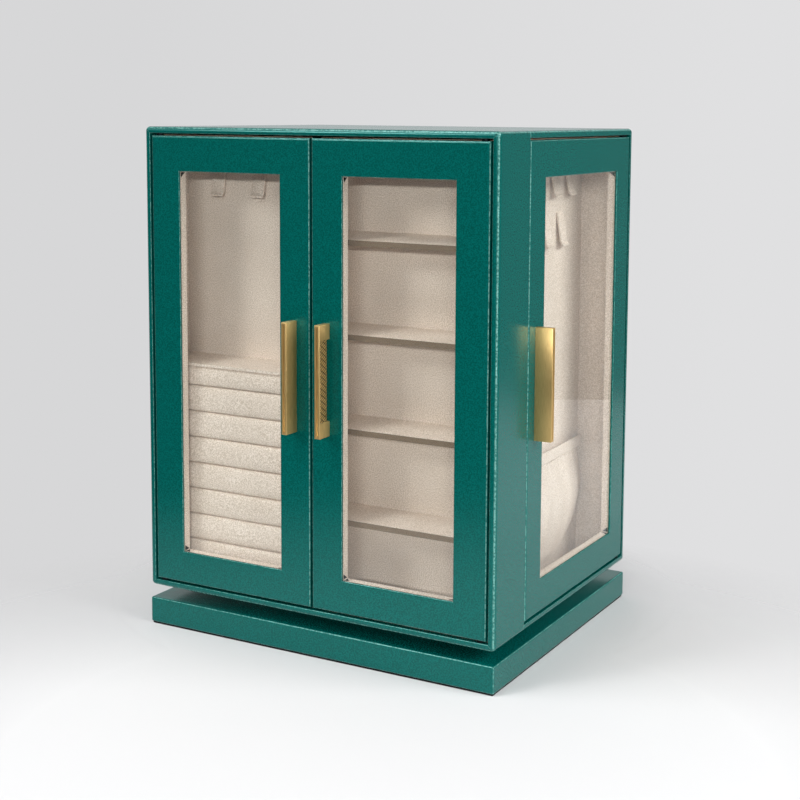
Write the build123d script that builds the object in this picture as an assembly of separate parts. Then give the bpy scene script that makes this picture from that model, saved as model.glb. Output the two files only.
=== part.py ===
from build123d import *
from math import cos, hypot, radians, sin, sqrt, tan
import os

# Swivelling earring cabinet: a leatherette case with four glazed doors, turning on a base board.
# Millimetres. The origin is on the swivel axis, at the underside of the base. +Z is up, the front
# faces -Y and +X is to the right of someone who looks at the front.

# Overall sizes
case_width = 270.0
case_depth = 220.0
case_height = 322.0
front_box_depth = 44.0
board = 4.5
back_panel = 2.0
partition = 5.0
lining = 1.0
outer_radius = 3.0
seam_radius = 0.6
rim_radius = 0.7
overrun = 5.0

# Base and its felt
base_board_thickness = 17.8
base_radius = 1.2
felt_thickness = 1.2
felt_inset = 1.0

# Swivel bearing between the base and the case
bearing_height = 9.0
bearing_plate_side = 130.0
bearing_plate_thickness = 1.2
bearing_corner_radius = 10.0
bearing_bore_diameter = 60.0
race_diameter = 100.0
race_width = 8.0
race_height = 3.5
race_flank_degrees = 45.0
ball_diameter = 5.0
ball_clearance = 0.15
ball_count = 10
bearing_screw_pitch = 108.0
bearing_screw_diameter = 3.0
bearing_screw_head_diameter = 6.0
bearing_screw_head_height = 1.6
base_screw_length = 12.0
case_screw_length = 3.6
screw_clearance = 0.1

# Doors
door_thickness = 8.0
door_skin = 1.4
door_gap = 1.5
centre_gap = 1.5
seam_gap = 1.0
door_radius = 1.5
stile = 23.2
top_rail = 24.0
bottom_rail = 22.0
door_rim = 8.0
glass_thickness = 1.4
glass_lip = 5.0
fit_clearance = 0.3
velvet_corner_radius = 1.2
door_stop_clearance = 0.5

# Pivot pins of the doors
pivot_inset = 5.0
pivot_depth = 3.5
pin_diameter = 3.0
pin_running_clearance = 0.08
pin_seat_clearance = 0.05
pin_in_door = 8.0
pin_in_board = 3.0
pin_end_clearance = 0.2
washer_diameter = 5.2
washer_thickness = 1.2

# Square magnets in the case and square strikes in the doors
magnet_side = 3.4
magnet_length = 3.0
magnet_clearance = 0.1
strike_side = 3.4
strike_thickness = 1.0
strike_inset = 2.4
magnet_place_shares = (0.08, 0.92)

# Edge-pull handles
handle_length = 73.8
handle_width = 3.9
handle_reach = 12.2
handle_inset = 12.0
handle_drop = 0.6
handle_plate = 1.6
handle_leg = 10.0
handle_grip_gap = 3.2
handle_grip_recess = 0.4
handle_front_lip = 1.0
handle_groove_width = 1.3
handle_groove_depth = 1.0
handle_groove_end = 1.6
handle_edge_radius = 0.5
handle_arch_radius = 3.0
handle_screw_diameter = 2.5
handle_screw_head_diameter = 6.0
handle_screw_head_height = 2.0
handle_screw_depth = 6.0
handle_screw_end = 5.5

# Right front bay: four shelves, their tops at the front edge as shares of the clear height of the bay
shelf_top_shares = (0.192, 0.389, 0.590, 0.788)
shelf_thickness = 3.3
shelf_rise = 3.7
shelf_swing_clearance = 1.87
shelf_binding = 1.0

# Left front bay: ring shelf, ring rolls and hooks
ring_shelf_top_share = 0.494
ring_shelf_thickness = 1.8
ring_shelf_rise = 2.4
roll_pitch = 18.2
roll_crown = 2.4
roll_slit = 0.4
roll_end_clearance = 0.3
top_roll_share = 0.75
bottom_roll_share = 0.58

# Hooks: strips that stand off the wall and turn outwards at the foot, the feet given below the case top
hook_width = 10.4
hook_thickness = 1.6
hook_stand_off = 3.0
hook_length = 25.0
hook_root = 3.5
hook_lip_radius = 3.2
hook_lip_degrees = 70.0
bay_hook_drop = 48.8
bay_hook_pitch = 34.0
bay_hook_first = 29.9
bay_hook_count = 3

# Side bays
side_bay_depth = 38.0
side_hook_drop = 48.4
side_hook_rear_margin = 28.0
side_hook_front_margin = 35.0
side_hook_count = 5
lower_hook_drop = 84.0

# Gathered pocket and its elastic band on the side partitions: the bag's sections from foot to throat
# have a height, a depth between the belly's and none, and a puff of the cloth between two gathers
pocket_mouth = 5.4
pocket_cloth = 1.4
pocket_belly = 12.6
pocket_band_top = 94.5
pocket_band_height = 9.0
pocket_foot = 8.0
pocket_corner_radius = 42.0
pocket_end_clearance = 0.3
gather_pitch = 13.8
gather_puff = 1.7
pocket_level_shares = (0.12, 0.30, 0.58, 0.84)
pocket_depth_shares = (0.62, 0.90, 1.00, 0.82)
pocket_puff_shares = (0.55, 0.90, 1.00, 0.85)
foot_puff_share = 0.2
throat_puff_share = 0.5

# Levels and planes worked out from the sizes
base_top = felt_thickness + base_board_thickness
case_bottom = base_top + bearing_height
case_top = case_bottom + case_height
half_width = case_width / 2
front_plane = -case_depth / 2
rear_plane = case_depth / 2
seam_plane = front_plane + front_box_depth
inner_bottom = case_bottom + board
inner_top = case_top - board
inner_half_width = half_width - board
door_bottom = inner_bottom + door_gap
door_height = inner_top - door_gap - door_bottom
front_door_width = inner_half_width - door_gap - centre_gap / 2
side_hinge_plane = rear_plane - board - door_gap
side_door_width = side_hinge_plane - seam_plane - seam_gap
stop_depth = door_thickness + door_stop_clearance
swing_depth = pivot_depth + hypot(pivot_inset, door_thickness - pivot_depth)
shelf_front_depth = swing_depth + shelf_swing_clearance
bay_back_depth = front_box_depth - back_panel - lining
bay_side_plane = inner_half_width - lining
bay_centre_plane = partition / 2 + lining
side_wall_plane = half_width - side_bay_depth
bulkhead_back_plane = seam_plane + board
side_bay_front_plane = bulkhead_back_plane + lining
side_bay_rear_plane = rear_plane - board - lining


def block(x_low, x_high, y_low, y_high, z_low, z_high):
    """A box between two corners."""
    place = Pos((x_low + x_high) / 2, (y_low + y_high) / 2, (z_low + z_high) / 2)
    return place * Box(x_high - x_low, y_high - y_low, z_high - z_low)


def rod(radius, start, end):
    """A round bar from one point to another along one of the axes."""
    axis = Vector(*end) - Vector(*start)
    return extrude(Plane(origin=start, z_dir=axis) * Circle(radius), amount=axis.length)


def prism(outline, direction, length):
    """An extruded outline, whose points lie in one plane."""
    return extrude(make_face(Polyline(*outline, close=True)), amount=length, dir=direction)


def group(solids):
    """Separate solids that share one node."""
    return Compound(children=list(solids))


def both_sides(piece):
    """A piece of the left side and its mirror image on the right."""
    return piece, mirror(piece, about=Plane.YZ)


def cut_all(piece, cutters):
    for cutter in cutters:
        piece -= cutter
    return piece


# Base


def make_base_board():
    base = block(-half_width, half_width, front_plane, rear_plane, felt_thickness, base_top)
    return fillet(base.edges(), base_radius)


def make_base_felt():
    half_length = half_width - felt_inset
    return block(
        -half_length, half_length, front_plane + felt_inset, rear_plane - felt_inset, 0, felt_thickness
    )


# Swivel bearing


def screw_places():
    reach = bearing_screw_pitch / 2
    return [(x, y) for x in (-reach, reach) for y in (-reach, reach)]


def make_race_groove():
    """The V groove that the balls run in, at the height of the lower plate's race."""
    flank = radians(race_flank_degrees)
    race_radius = race_diameter / 2
    apex = bearing_height / 2 - (ball_diameter / 2 + ball_clearance) / cos(flank)
    half_mouth = (race_height - apex) / tan(flank)
    outline = Polyline(
        (race_radius - half_mouth, 0, race_height), (race_radius, 0, apex),
        (race_radius + half_mouth, 0, race_height), close=True,
    )
    return revolve(make_face(outline), Axis.Z)


def make_bearing_plate():
    """One pressed plate, lying on the base, with its ball race on top."""
    plate = extrude(RectangleRounded(bearing_plate_side, bearing_plate_side, bearing_corner_radius),
                    amount=bearing_plate_thickness)
    plate -= extrude(Circle(bearing_bore_diameter / 2), amount=bearing_plate_thickness)
    track = Circle(race_diameter / 2 + race_width / 2) - Circle(race_diameter / 2 - race_width / 2)
    plate += extrude(track, amount=race_height)
    plate -= make_race_groove()
    hole_radius = bearing_screw_diameter / 2 + screw_clearance
    for x, y in screw_places():
        plate -= rod(hole_radius, (x, y, 0), (x, y, bearing_plate_thickness))
    return plate


def make_balls():
    ring = PolarLocations(race_diameter / 2, ball_count)
    level = base_top + bearing_height / 2
    return group(Pos(0, 0, level) * place * Sphere(ball_diameter / 2) for place in ring)


def make_bearing_screw(length):
    """A screw, its head standing up from the plate at the origin."""
    seat = bearing_plate_thickness
    head = rod(bearing_screw_head_diameter / 2, (0, 0, seat), (0, 0, seat + bearing_screw_head_height))
    return head + rod(bearing_screw_diameter / 2, (0, 0, -length), (0, 0, seat))


def pilot_holes(level, length, step):
    """Holes for the bearing screws in the board that carries them."""
    radius = bearing_screw_diameter / 2 + screw_clearance
    end = level + step * (length + screw_clearance)
    return [rod(radius, (x, y, level), (x, y, end)) for x, y in screw_places()]


# Case boards


def front_box_blank():
    blank = block(-half_width, half_width, front_plane, seam_plane, case_bottom, case_top)
    blank = fillet(blank.edges() - blank.edges().group_by(Axis.Y)[-1], outer_radius)
    return fillet(blank.edges().group_by(Axis.Y)[-1], seam_radius)


def rear_box_blank():
    blank = block(-half_width, half_width, seam_plane, rear_plane, case_bottom, case_top)
    blank = fillet(blank.edges() - blank.edges().group_by(Axis.Y)[0], outer_radius)
    return fillet(blank.edges().group_by(Axis.Y)[0], seam_radius)


def make_front_boards():
    """The four mitred boards of the front box, with the door's rim eased."""
    ring = front_box_blank() - block(
        -inner_half_width, inner_half_width, front_plane - overrun, seam_plane + overrun,
        inner_bottom, inner_top,
    )
    inner_rim = [
        edge for edge in ring.edges().group_by(Axis.Y)[0]
        if abs(edge.center().X) < inner_half_width + rim_radius
        and inner_bottom - rim_radius < edge.center().Z < inner_top + rim_radius
    ]
    ring = fillet(inner_rim, rim_radius)
    across = (0, 1, 0)
    span = front_box_depth + 2 * overrun
    start = front_plane - overrun

    def wedge(*corners):
        return prism([(x, start, z) for x, z in corners], across, span)

    left = wedge(
        (-half_width, case_bottom), (-inner_half_width, inner_bottom), (-inner_half_width, inner_top),
        (-half_width, case_top),
    )
    top = wedge(
        (-half_width, case_top), (-inner_half_width, inner_top), (inner_half_width, inner_top),
        (half_width, case_top),
    )
    bottom = wedge(
        (-half_width, case_bottom), (half_width, case_bottom), (inner_half_width, inner_bottom),
        (-inner_half_width, inner_bottom),
    )
    left_board, right_board = both_sides(ring & left)
    return ring & top, ring & bottom, left_board, right_board


def make_rear_boards():
    """The top, bottom and rear boards of the rear box, mitred at the two rear corners."""
    shell = rear_box_blank() - block(
        -half_width - overrun, half_width + overrun, seam_plane - overrun, rear_plane - board,
        inner_bottom, inner_top,
    )
    along = (1, 0, 0)
    span = case_width + 2 * overrun
    start = -half_width - overrun
    inner_rear = rear_plane - board

    def wedge(*corners):
        return prism([(start, y, z) for y, z in corners], along, span)

    top = wedge(
        (seam_plane, case_top), (seam_plane, inner_top), (inner_rear, inner_top), (rear_plane, case_top)
    )
    bottom = wedge(
        (seam_plane, case_bottom), (rear_plane, case_bottom), (inner_rear, inner_bottom),
        (seam_plane, inner_bottom),
    )
    rear = wedge(
        (rear_plane, case_top), (inner_rear, inner_top), (inner_rear, inner_bottom),
        (rear_plane, case_bottom),
    )
    return shell & top, shell & bottom, shell & rear


def pivot_axes():
    """Where the four door pivots stand: x, y."""
    front_x = inner_half_width - door_gap - pivot_inset
    front_y = front_plane + pivot_depth
    side_x = half_width - pivot_depth
    side_y = side_hinge_plane - pivot_inset
    return {
        "front": [(-front_x, front_y), (front_x, front_y)],
        "side": [(-side_x, side_y), (side_x, side_y)],
    }


def pin_holes(places, level, step):
    """Blind bushes for the pivot pins, in the underside or the top of a board."""
    radius = pin_diameter / 2 + pin_running_clearance
    end = level + step * (pin_in_board + pin_end_clearance)
    return [rod(radius, (x, y, level), (x, y, end)) for x, y in places]


# Doors, modelled with the hinge edge at x = 0, the outer face at y = 0 and the foot at z = 0


def window_block(width, height, near, far, margin):
    """The window's space between two depths, grown all round by a margin."""
    return block(
        stile - margin, width - stile + margin, near, far,
        bottom_rail - margin, height - top_rail + margin,
    )


def make_door_frame(width, height):
    frame = block(0, width, 0, door_thickness, 0, height)
    frame = fillet(frame.edges().group_by(Axis.Y)[0], door_radius)
    frame -= window_block(width, height, -overrun, door_skin + overrun, 0)
    rim = [
        edge for edge in frame.edges().group_by(Axis.Y)[0]
        if stile - rim_radius < edge.center().X < width - stile + rim_radius
        and bottom_rail - rim_radius < edge.center().Z < height - top_rail + rim_radius
    ]
    frame = fillet(rim, rim_radius)
    frame -= block(
        door_rim, width - door_rim, door_skin, door_thickness + overrun, door_rim, height - door_rim
    )
    pin_radius = pin_diameter / 2 + pin_seat_clearance
    frame -= rod(pin_radius, (pivot_inset, pivot_depth, 0), (pivot_inset, pivot_depth, pin_in_door))
    frame -= rod(
        pin_radius, (pivot_inset, pivot_depth, height - pin_in_door), (pivot_inset, pivot_depth, height)
    )
    for x, z in handle_screw_places(width, height):
        frame -= rod(handle_screw_diameter / 2 + screw_clearance, (x, 0, z), (x, door_skin, z))
    for x, z in strike_places(width, height):
        half = strike_side / 2 + magnet_clearance
        frame -= block(
            x - half, x + half, door_thickness - strike_thickness, door_thickness + overrun,
            z - half, z + half,
        )
    return frame


def make_door_glass(width, height):
    return window_block(width, height, door_skin, door_skin + glass_thickness, glass_lip)


def make_door_velvet(width, height):
    """The inner frame: it holds the glass in a rebate and has a window with rounded corners."""
    edge = door_rim + fit_clearance
    velvet = block(edge, width - edge, door_skin, door_thickness, edge, height - edge)
    velvet -= window_block(
        width, height, door_skin, door_skin + glass_thickness, glass_lip + fit_clearance
    )
    opening = RectangleRounded(width - 2 * stile, height - top_rail - bottom_rail, velvet_corner_radius)
    middle = (height + bottom_rail - top_rail) / 2
    centre = Plane(origin=(width / 2, door_skin, middle), x_dir=(1, 0, 0), z_dir=(0, 1, 0))
    velvet -= extrude(centre * opening, amount=door_thickness)
    for x, z in handle_screw_places(width, height):
        velvet -= rod(
            handle_screw_head_diameter / 2 + fit_clearance,
            (x, door_skin, z), (x, door_skin + handle_screw_head_height + fit_clearance, z),
        )
    return velvet


def handle_screw_places(width, height):
    middle = height / 2 - handle_drop
    reach = handle_length / 2 - handle_screw_end
    return [(width - handle_inset, middle - reach), (width - handle_inset, middle + reach)]


def strike_places(width, height):
    return [(width - strike_inset, height * share) for share in magnet_place_shares]


def make_handle(width, height):
    """An edge pull: a full plate towards the free edge and an undercut grip on the other side."""
    x_low = width - handle_inset - handle_width / 2
    x_high = x_low + handle_width
    z_low = height / 2 - handle_drop - handle_length / 2
    z_high = z_low + handle_length
    grip_low = z_low + handle_leg
    grip_high = z_high - handle_leg
    handle = block(x_low, x_high, -handle_reach, 0, z_low, z_high)
    handle = fillet(handle.edges().group_by(Axis.Y)[0], handle_edge_radius)
    undercut = block(
        x_low - overrun, x_high - handle_plate, -handle_grip_gap, overrun, grip_low, grip_high
    )
    undercut = fillet(
        undercut.edges().filter_by(Axis.X).group_by(Axis.Y)[0], min(handle_arch_radius, handle_grip_gap / 2)
    )
    handle -= undercut
    handle -= block(
        x_low - overrun, x_low + handle_grip_recess, -handle_reach + handle_front_lip, -handle_grip_gap,
        grip_low, grip_high,
    )
    groove_x = (x_low + x_high) / 2
    handle -= block(
        groove_x - handle_groove_width / 2, groove_x + handle_groove_width / 2,
        -handle_reach - overrun, -handle_reach + handle_groove_depth,
        z_low + handle_groove_end, z_high - handle_groove_end,
    )
    for x, z in handle_screw_places(width, height):
        handle -= rod(
            handle_screw_diameter / 2 + screw_clearance, (x, 0, z),
            (x, -handle_screw_depth - screw_clearance, z),
        )
    return handle


def make_fixings(width, height):
    """Two pivot pins with washers, two handle screws and two strikes."""
    pieces = []
    pin_radius = pin_diameter / 2
    for edge, step in ((0, -1), (height, 1)):
        inner = edge - step * pin_in_door
        outer = edge + step * (door_gap + pin_in_board)
        low, high = sorted((inner, outer))
        pin = rod(pin_radius, (pivot_inset, pivot_depth, low), (pivot_inset, pivot_depth, high))
        middle = edge + step * door_gap / 2
        washer = rod(
            washer_diameter / 2, (pivot_inset, pivot_depth, middle - washer_thickness / 2),
            (pivot_inset, pivot_depth, middle + washer_thickness / 2),
        )
        pieces.append(pin + washer)
    for x, z in handle_screw_places(width, height):
        head_end = door_skin + handle_screw_head_height
        head = rod(handle_screw_head_diameter / 2, (x, door_skin, z), (x, head_end, z))
        shank = rod(handle_screw_diameter / 2, (x, -handle_screw_depth, z), (x, door_skin, z))
        pieces.append(head + shank)
    half = strike_side / 2
    for x, z in strike_places(width, height):
        pieces.append(block(
            x - half, x + half, door_thickness - strike_thickness, door_thickness, z - half, z + half
        ))
    return group(pieces)


def make_door(width, height):
    return {
        "frame": make_door_frame(width, height),
        "glass": make_door_glass(width, height),
        "velvet": make_door_velvet(width, height),
        "handle": make_handle(width, height),
        "fixings": make_fixings(width, height),
    }


# Fittings of the bays


def make_front_lining():
    """The lining of the left front bay: back, two sides, top and bottom in one folded card."""
    front = front_plane + stop_depth
    rear = seam_plane - back_panel
    tray = block(-inner_half_width, -partition / 2, front, rear, inner_bottom, inner_top)
    return tray - block(
        -bay_side_plane, -bay_centre_plane, front - overrun, rear - lining,
        inner_bottom + lining, inner_top - lining,
    )


def make_side_lining():
    """The lining of the left side bay."""
    outer = -half_width + stop_depth
    inner = -side_wall_plane + lining
    tray = block(outer, inner, bulkhead_back_plane, rear_plane - board, inner_bottom, inner_top)
    return tray - block(
        outer - overrun, -side_wall_plane, side_bay_front_plane, side_bay_rear_plane,
        inner_bottom + lining, inner_top - lining,
    )


def sloped_board(x_low, x_high, front, rear, top, thickness, rise):
    """A shelf whose top rises towards the back; its front face is upright."""
    outline = [
        (x_low, front, top), (x_low, rear, top + rise), (x_low, rear, top + rise - thickness),
        (x_low, front, top - thickness),
    ]
    return prism(outline, (1, 0, 0), x_high - x_low)


def bay_level(share):
    """A height in the front bays, as a share of their clear height."""
    floor = inner_bottom + lining
    return floor + (inner_top - lining - floor) * share


def make_shelf(top):
    """One shelf and the binding along its front edge."""
    front = front_plane + shelf_front_depth
    rear = front_plane + bay_back_depth
    whole = sloped_board(bay_centre_plane, bay_side_plane, front, rear, top, shelf_thickness, shelf_rise)
    nose = block(
        bay_centre_plane, bay_side_plane, front, front + shelf_binding,
        top - shelf_thickness, top + shelf_rise,
    )
    return whole - nose, whole & nose


def make_ring_shelf():
    front = front_plane + shelf_front_depth
    rear = front_plane + bay_back_depth
    return sloped_board(
        -bay_side_plane, -bay_centre_plane, front, rear, bay_level(ring_shelf_top_share),
        ring_shelf_thickness, ring_shelf_rise,
    )


def make_ring_rolls():
    """A stack of padded rolls; rings are pushed into the slits between them."""
    floor = inner_bottom + lining
    ceiling = bay_level(ring_shelf_top_share) - ring_shelf_thickness
    full_rolls = max(1, round((ceiling - floor) / roll_pitch - top_roll_share - bottom_roll_share))
    unit = (ceiling - floor) / (full_rolls + top_roll_share + bottom_roll_share)
    heights = [bottom_roll_share * unit] + [unit] * full_rolls + [top_roll_share * unit]
    crown = front_plane + shelf_front_depth
    shoulder = crown + roll_crown
    rear = front_plane + bay_back_depth
    rolls = []
    low = floor
    for height in heights:
        bottom = low + roll_slit / 2
        top = low + height - roll_slit / 2
        x = -bay_side_plane + roll_end_clearance
        face = make_face([
            Line((x, rear, bottom), (x, shoulder, bottom)),
            ThreePointArc((x, shoulder, bottom), (x, crown, (bottom + top) / 2), (x, shoulder, top)),
            Line((x, shoulder, top), (x, rear, top)),
            Line((x, rear, top), (x, rear, bottom)),
        ])
        length = bay_side_plane - bay_centre_plane - 2 * roll_end_clearance
        rolls.append(extrude(face, amount=length, dir=(1, 0, 0)))
        low += height
    return group(rolls)


def make_hook(foot):
    """A strip seen along y: its head lies on the wall at x = 0, from there it leans out towards -x down
    to the stand-off, and its foot curls outwards."""
    inner = hook_stand_off
    outer = hook_stand_off + hook_thickness
    head = foot + hook_length
    turn = radians(hook_lip_degrees)
    lip_centre = outer + hook_lip_radius
    bend = foot + hook_lip_radius + hook_thickness
    inner_radius = hook_lip_radius + hook_thickness

    def on_arc(radius, angle):
        return (-lip_centre + radius * cos(angle), 0, bend - radius * sin(angle))

    half = turn / 2
    lip = hook_lip_radius
    face = make_face([
        Line((0, 0, head), (0, 0, head - hook_root)),
        Line((0, 0, head - hook_root), on_arc(inner_radius, 0)),
        ThreePointArc(on_arc(inner_radius, 0), on_arc(inner_radius, half), on_arc(inner_radius, turn)),
        Line(on_arc(inner_radius, turn), on_arc(lip, turn)),
        ThreePointArc(on_arc(lip, turn), on_arc(lip, half), on_arc(lip, 0)),
        Line(on_arc(lip, 0), (-hook_thickness, 0, head - hook_thickness)),
        Line((-hook_thickness, 0, head - hook_thickness), (0, 0, head)),
    ])
    return Pos(0, -hook_width / 2, 0) * extrude(face, amount=hook_width, dir=(0, 1, 0))


def make_front_hooks():
    hook = Rot(0, 0, 90) * make_hook(case_top - bay_hook_drop)
    first = -inner_half_width + bay_hook_first
    wall = front_plane + bay_back_depth
    foot_side = [first + step * bay_hook_pitch for step in range(bay_hook_count)]
    return group(Pos(x, wall, 0) * hook for x in foot_side)


def make_side_hooks():
    """An upper row of hooks and a lower row that hangs in its gaps."""
    upper = make_hook(case_top - side_hook_drop)
    lower = make_hook(case_top - lower_hook_drop)
    rear = side_bay_rear_plane - side_hook_rear_margin
    front = side_bay_front_plane + side_hook_front_margin
    pitch = (rear - front) / (side_hook_count - 1)
    places = [(upper, rear - step * pitch) for step in range(side_hook_count)]
    places += [(lower, rear - (step + 1 / 2) * pitch) for step in range(side_hook_count - 1)]
    return group(Pos(-side_wall_plane, y, 0) * hook for hook, y in places)


def pocket_sections(cloth):
    """Level, depth and puff of the bag's sections, for its outer face or, one cloth in, its inner one."""
    foot = case_bottom + pocket_foot
    throat = case_bottom + pocket_band_top - pocket_band_height
    rows = [(foot + cloth, 2 * pocket_cloth - cloth, gather_puff * foot_puff_share)]
    for level, depth, puff in zip(pocket_level_shares, pocket_depth_shares, pocket_puff_shares):
        rows.append((foot + (throat - foot) * level, pocket_belly * depth - cloth, gather_puff * puff))
    rows.append((throat, pocket_mouth + pocket_cloth - cloth, gather_puff * throat_puff_share))
    return rows


def pocket_gathers(level):
    """Where the gathers lie along the bay at a level: the lower corners of the bag are well rounded."""
    height = min(level - case_bottom - pocket_foot, pocket_corner_radius)
    inset = pocket_corner_radius - sqrt(pocket_corner_radius ** 2 - (pocket_corner_radius - height) ** 2)
    low = side_bay_front_plane + pocket_end_clearance + inset
    high = side_bay_rear_plane - pocket_end_clearance - inset
    count = max(1, round((side_bay_rear_plane - side_bay_front_plane) / gather_pitch))
    return [low + (high - low) * step / count for step in range(count + 1)]


def pocket_section(level, depth, puff, cloth):
    """One level section of the bag: straight along the wall, an arc for each puff between two gathers."""
    wall = -side_wall_plane
    face = wall - depth
    places = pocket_gathers(level)
    places[0] += cloth
    places[-1] -= cloth
    edges = [
        Line((wall, places[-1], level), (wall, places[0], level)),
        Line((wall, places[0], level), (face, places[0], level)),
    ]
    for low, high in zip(places, places[1:]):
        crown = (face - puff, (low + high) / 2, level)
        edges.append(ThreePointArc((face, low, level), crown, (face, high, level)))
    edges.append(Line((face, places[-1], level), (wall, places[-1], level)))
    return make_face(edges)


def make_pocket():
    """The gathered bag, open at its throat, with its main folds."""
    shells = []
    for cloth in (0, pocket_cloth):
        sections = [pocket_section(*row, cloth) for row in pocket_sections(cloth)]
        shells.append(loft(sections, ruled=True))
    outer, inner = shells
    return outer - inner


def make_pocket_band():
    outer = -side_wall_plane - pocket_mouth - pocket_cloth
    top = case_bottom + pocket_band_top
    return block(
        outer, outer + pocket_cloth, side_bay_front_plane, side_bay_rear_plane,
        top - pocket_band_height, top,
    )


def magnet_bars(clearance):
    """Bars in the centre partition and in the two ends of the bulkhead."""
    half = magnet_side / 2 + clearance
    depth = magnet_length + clearance
    front = front_plane + stop_depth
    outer = half_width - stop_depth
    y = seam_plane + board / 2
    partition_bars = []
    bulkhead_bars = []
    for share in magnet_place_shares:
        z = door_bottom + door_height * share
        partition_bars.append(block(-half, half, front, front + depth, z - half, z + half))
        left_bar = block(-outer, -outer + depth, y - half, y + half, z - half, z + half)
        bulkhead_bars.extend(both_sides(left_bar))
    return partition_bars, bulkhead_bars


def main():
    nodes = {}
    nodes["base_board"] = cut_all(make_base_board(), pilot_holes(base_top, base_screw_length, -1))
    nodes["base_felt"] = make_base_felt()
    lower_plate = Pos(0, 0, base_top) * make_bearing_plate()
    nodes["bearing_lower_plate"] = lower_plate
    nodes["bearing_upper_plate"] = Pos(0, 0, case_bottom) * Rot(180, 0, 0) * make_bearing_plate()
    nodes["bearing_balls"] = make_balls()
    lower_screw = make_bearing_screw(base_screw_length)
    upper_screw = Rot(180, 0, 0) * make_bearing_screw(case_screw_length)
    nodes["bearing_lower_screws"] = group(Pos(x, y, base_top) * lower_screw for x, y in screw_places())
    nodes["bearing_upper_screws"] = group(Pos(x, y, case_bottom) * upper_screw for x, y in screw_places())

    pivots = pivot_axes()
    case_pilots = pilot_holes(case_bottom, case_screw_length, 1)
    front_top, front_bottom, front_left, front_right = make_front_boards()
    front_bottom = cut_all(front_bottom, case_pilots)
    nodes["front_box_top"] = cut_all(front_top, pin_holes(pivots["front"], inner_top, 1))
    nodes["front_box_bottom"] = cut_all(front_bottom, pin_holes(pivots["front"], inner_bottom, -1))
    nodes["front_box_left"] = front_left
    nodes["front_box_right"] = front_right
    nodes["front_box_back"] = block(
        -inner_half_width, inner_half_width, seam_plane - back_panel, seam_plane, inner_bottom, inner_top
    )
    partition_seats, bulkhead_seats = magnet_bars(magnet_clearance)
    centre = block(
        -partition / 2, partition / 2, front_plane + stop_depth, seam_plane - back_panel,
        inner_bottom, inner_top,
    )
    nodes["centre_partition"] = cut_all(centre, partition_seats)

    rear_top, rear_bottom, rear_back = make_rear_boards()
    rear_bottom = cut_all(rear_bottom, case_pilots)
    nodes["rear_box_top"] = cut_all(rear_top, pin_holes(pivots["side"], inner_top, 1))
    nodes["rear_box_bottom"] = cut_all(rear_bottom, pin_holes(pivots["side"], inner_bottom, -1))
    nodes["rear_box_back"] = rear_back
    bulkhead = block(
        -half_width + stop_depth, half_width - stop_depth, seam_plane, bulkhead_back_plane,
        inner_bottom, inner_top,
    )
    nodes["rear_box_bulkhead"] = cut_all(bulkhead, bulkhead_seats)
    partition_face = -side_wall_plane + lining
    left_partition = block(
        partition_face, partition_face + board, bulkhead_back_plane, rear_plane - board,
        inner_bottom, inner_top,
    )
    nodes["left_partition"], nodes["right_partition"] = both_sides(left_partition)

    nodes["left_bay_lining"], nodes["right_bay_lining"] = both_sides(make_front_lining())
    nodes["left_side_lining"], nodes["right_side_lining"] = both_sides(make_side_lining())

    bindings = []
    for number, share in enumerate(shelf_top_shares, start=1):
        shelf, binding = make_shelf(bay_level(share))
        nodes[f"shelf_{number}"] = shelf
        bindings.append(binding)
    nodes["shelf_bindings"] = group(bindings)
    nodes["ring_shelf"] = make_ring_shelf()
    nodes["ring_rolls"] = make_ring_rolls()
    nodes["front_bay_hooks"] = make_front_hooks()
    nodes["left_side_hooks"], nodes["right_side_hooks"] = both_sides(make_side_hooks())
    nodes["left_pocket"], nodes["right_pocket"] = both_sides(make_pocket())
    nodes["left_pocket_band"], nodes["right_pocket_band"] = both_sides(make_pocket_band())
    partition_magnets, bulkhead_magnets = magnet_bars(0)
    nodes["door_magnets"] = group(partition_magnets + bulkhead_magnets)

    front_place = Pos(-inner_half_width + door_gap, front_plane, door_bottom)
    side_place = Pos(-half_width, side_hinge_plane, door_bottom) * Rot(0, 0, -90)
    doors = (("front", front_door_width, front_place), ("side", side_door_width, side_place))
    for name, width, place in doors:
        for piece, shape in make_door(width, door_height).items():
            left, right = both_sides(place * shape)
            nodes[f"left_{name}_door_{piece}"] = left
            nodes[f"right_{name}_door_{piece}"] = right

    os.makedirs("parts", exist_ok=True)
    for name, shape in nodes.items():
        export_step(shape, f"parts/{name}.step")


main()
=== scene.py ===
import bmesh
import bpy
import math
from mathutils import Matrix, Vector, noise


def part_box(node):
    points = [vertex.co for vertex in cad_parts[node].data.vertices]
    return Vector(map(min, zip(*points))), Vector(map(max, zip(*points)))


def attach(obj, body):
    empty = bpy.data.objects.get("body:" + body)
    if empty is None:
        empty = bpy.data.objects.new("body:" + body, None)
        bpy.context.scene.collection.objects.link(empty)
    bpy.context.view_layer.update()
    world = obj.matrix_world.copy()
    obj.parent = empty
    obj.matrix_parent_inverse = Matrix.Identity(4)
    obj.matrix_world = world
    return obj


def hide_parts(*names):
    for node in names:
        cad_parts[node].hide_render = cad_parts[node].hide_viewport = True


# Looks of a swivelling earring cabinet: green leatherette case and doors, beige flocked linings,
# knurled brass edge pulls, padded ring rolls and gathered pockets. Metres, in the frame of the model:
# the origin is on the swivel axis at the underside of the base, the front faces -Y.

MM = 0.001
DOORS = ("left_front", "right_front", "left_side", "right_side")
SIDES = ("left", "right")

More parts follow.
